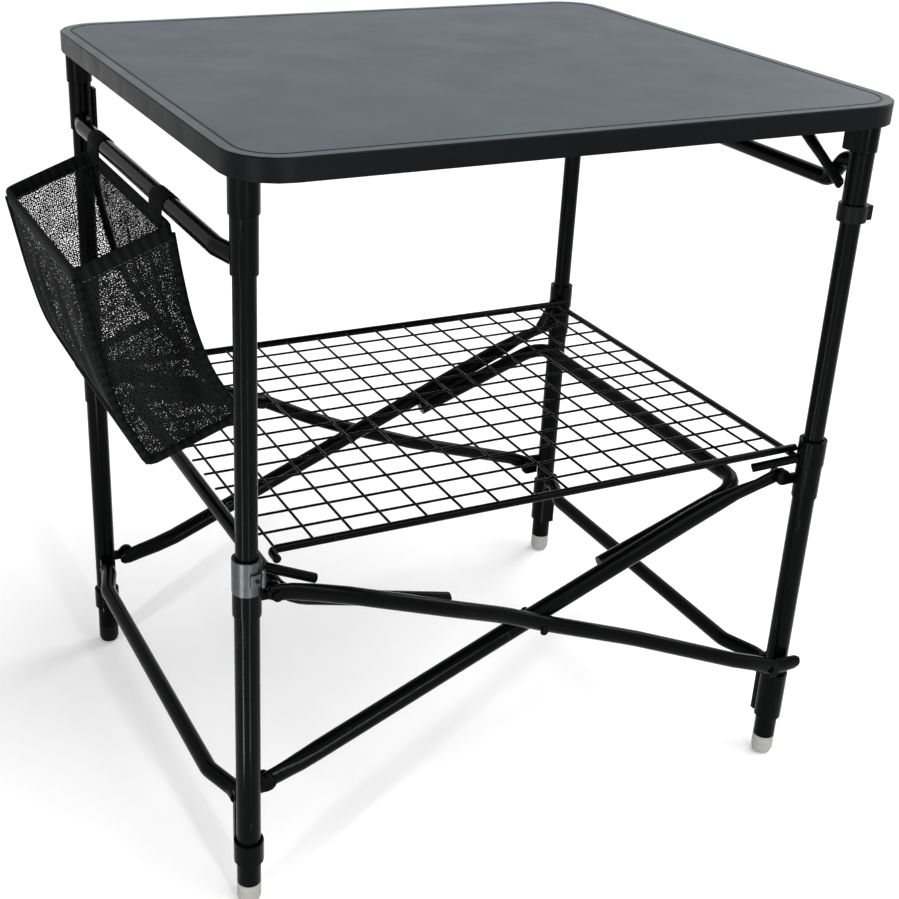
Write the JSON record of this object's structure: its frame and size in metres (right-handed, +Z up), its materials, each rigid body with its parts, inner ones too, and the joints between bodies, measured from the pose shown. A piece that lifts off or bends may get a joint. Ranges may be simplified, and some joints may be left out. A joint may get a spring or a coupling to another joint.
{
  "type": "camp kitchen stand",
  "caption": "Folding camp kitchen stand with a flat top, crossed-arm side frames on sliding collars, a wire shelf and a hanging mesh pouch.",
  "frame": {"origin": "on the floor, at the middle of the whole outline, pouch included", "axes": "+X to the right as seen from the front, -Y to the front, +Z up"},
  "size_m": [0.694, 0.544, 0.7],
  "materials": {
    "grey_laminate": "satin grey laminate",
    "dark_edge_trim": "semi-gloss moulded edge",
    "gloss_black_paint": "gloss powder coat",
    "bare_steel": "plated satin",
    "grey_foot_plastic": "moulded",
    "black_plastic": "moulded",
    "black_mesh_fabric": "open knit mesh with webbing hems"
  },
  "bodies": {
    "left_frame": {"lower_leg_front_left": "gloss_black_paint", "lower_leg_rear_left": "gloss_black_paint", "upper_leg_front_left": "gloss_black_paint", "upper_leg_rear_left": "gloss_black_paint", "foot_front_left": "grey_foot_plastic", "foot_rear_left": "grey_foot_plastic", "top_sleeve_front_left": "gloss_black_paint", "top_sleeve_rear_left": "gloss_black_paint", "lower_bracket_front_left": "gloss_black_paint", "lower_bracket_rear_left": "gloss_black_paint", "lower_pivot_front_left": "gloss_black_paint", "lower_pivot_rear_left": "gloss_black_paint", "upper_bar_left": "gloss_black_paint", "lower_bar_left": "gloss_black_paint", "hanger_plate": "gloss_black_paint"},
    "right_frame": {"lower_leg_front_right": "gloss_black_paint", "lower_leg_rear_right": "gloss_black_paint", "upper_leg_front_right": "gloss_black_paint", "upper_leg_rear_right": "gloss_black_paint", "foot_front_right": "grey_foot_plastic", "foot_rear_right": "grey_foot_plastic", "top_sleeve_front_right": "gloss_black_paint", "top_sleeve_rear_right": "gloss_black_paint", "lower_bracket_front_right": "gloss_black_paint", "lower_bracket_rear_right": "gloss_black_paint", "lower_pivot_front_right": "gloss_black_paint", "lower_pivot_rear_right": "gloss_black_paint", "upper_bar_right": "gloss_black_paint", "lower_bar_right": "gloss_black_paint", "strut_front_right": "gloss_black_paint", "strut_rear_right": "gloss_black_paint", "leg_clip_front_right": "black_plastic", "leg_clip_rear_right": "black_plastic"},
    "arm_set_1": {"inner_arm_front": "gloss_black_paint", "inner_arm_rear": "gloss_black_paint", "crossbar_right": "gloss_black_paint", "centre_pin_front": "gloss_black_paint", "centre_pin_rear": "gloss_black_paint"},
    "arm_set_2": {"outer_arm_front": "gloss_black_paint", "outer_arm_rear": "gloss_black_paint", "crossbar_left": "gloss_black_paint"},
    "left_collars": {"collar_front_left": "gloss_black_paint", "collar_rear_left": "gloss_black_paint", "collar_stay_front_left": "gloss_black_paint", "stay_ring_rear_left": "gloss_black_paint", "lock_collar": "bare_steel"},
    "right_collars": {"collar_front_right": "gloss_black_paint", "collar_rear_right": "gloss_black_paint", "stay_ring_front_right": "gloss_black_paint", "stay_ring_rear_right": "gloss_black_paint", "shelf_support_rail": "gloss_black_paint"},
    "lock_lever": {"lock_lever": "bare_steel"},
    "shelf": {"shelf_grid": "gloss_black_paint"},
    "tabletop": {"tabletop_board": "grey_laminate", "tabletop_edge_trim": "dark_edge_trim"},
    "pouch": {"mesh_pouch": "black_mesh_fabric", "pouch_strap_front": "black_mesh_fabric", "pouch_strap_rear": "black_mesh_fabric"}
  },
  "joints": [
    {"name": "fold", "type": "hinge", "parent": "left_frame", "child": "arm_set_1", "pos_m": [-0.23, 0, 0.118], "axis": [0, -1, 0], "range_deg": [0, 26]},
    {"name": "arm_crossing", "type": "hinge", "parent": "arm_set_1", "child": "arm_set_2", "pos_m": [0.039, 0, 0.222], "axis": [0, 1, 0], "range_deg": [0, 52]},
    {"name": "right_frame_turn", "type": "hinge", "parent": "arm_set_2", "child": "right_frame", "pos_m": [0.308, 0, 0.118], "axis": [0, -1, 0], "range_deg": [0, 26]},
    {"name": "right_collars_turn", "type": "hinge", "parent": "arm_set_1", "child": "right_collars", "pos_m": [0.308, 0, 0.326], "axis": [0, 1, 0], "range_deg": [0, 26]},
    {"name": "left_collars_turn", "type": "hinge", "parent": "arm_set_2", "child": "left_collars", "pos_m": [-0.23, 0, 0.326], "axis": [0, -1, 0], "range_deg": [0, 26]},
    {"name": "pouch_swing", "type": "hinge", "parent": "left_frame", "child": "pouch", "pos_m": [-0.26, 0, 0.614], "axis": [0, 1, 0], "range_deg": [0, 26]},
    {"name": "shelf_lift", "type": "slide", "parent": "left_collars", "child": "shelf", "axis": [0, 0, 1], "range_m": [0, 0.015]},
    {"name": "lock_lever_turn", "type": "hinge", "parent": "left_collars", "child": "lock_lever", "pos_m": [-0.2417, -0.24644, 0.344], "axis": [0, 0, 1], "range_deg": [0, 40]},
    {"name": "tabletop_lift", "type": "slide", "parent": "left_frame", "child": "tabletop", "axis": [0, 0, 1], "range_m": [0, 0.08]}
  ],
  "couplings": [
    {"joint": "arm_crossing", "follows": "fold", "ratio": 2},
    {"joint": "right_frame_turn", "follows": "fold", "ratio": 1},
    {"joint": "right_collars_turn", "follows": "fold", "ratio": 1},
    {"joint": "left_collars_turn", "follows": "fold", "ratio": 1},
    {"joint": "pouch_swing", "follows": "fold", "ratio": 1}
  ]
}
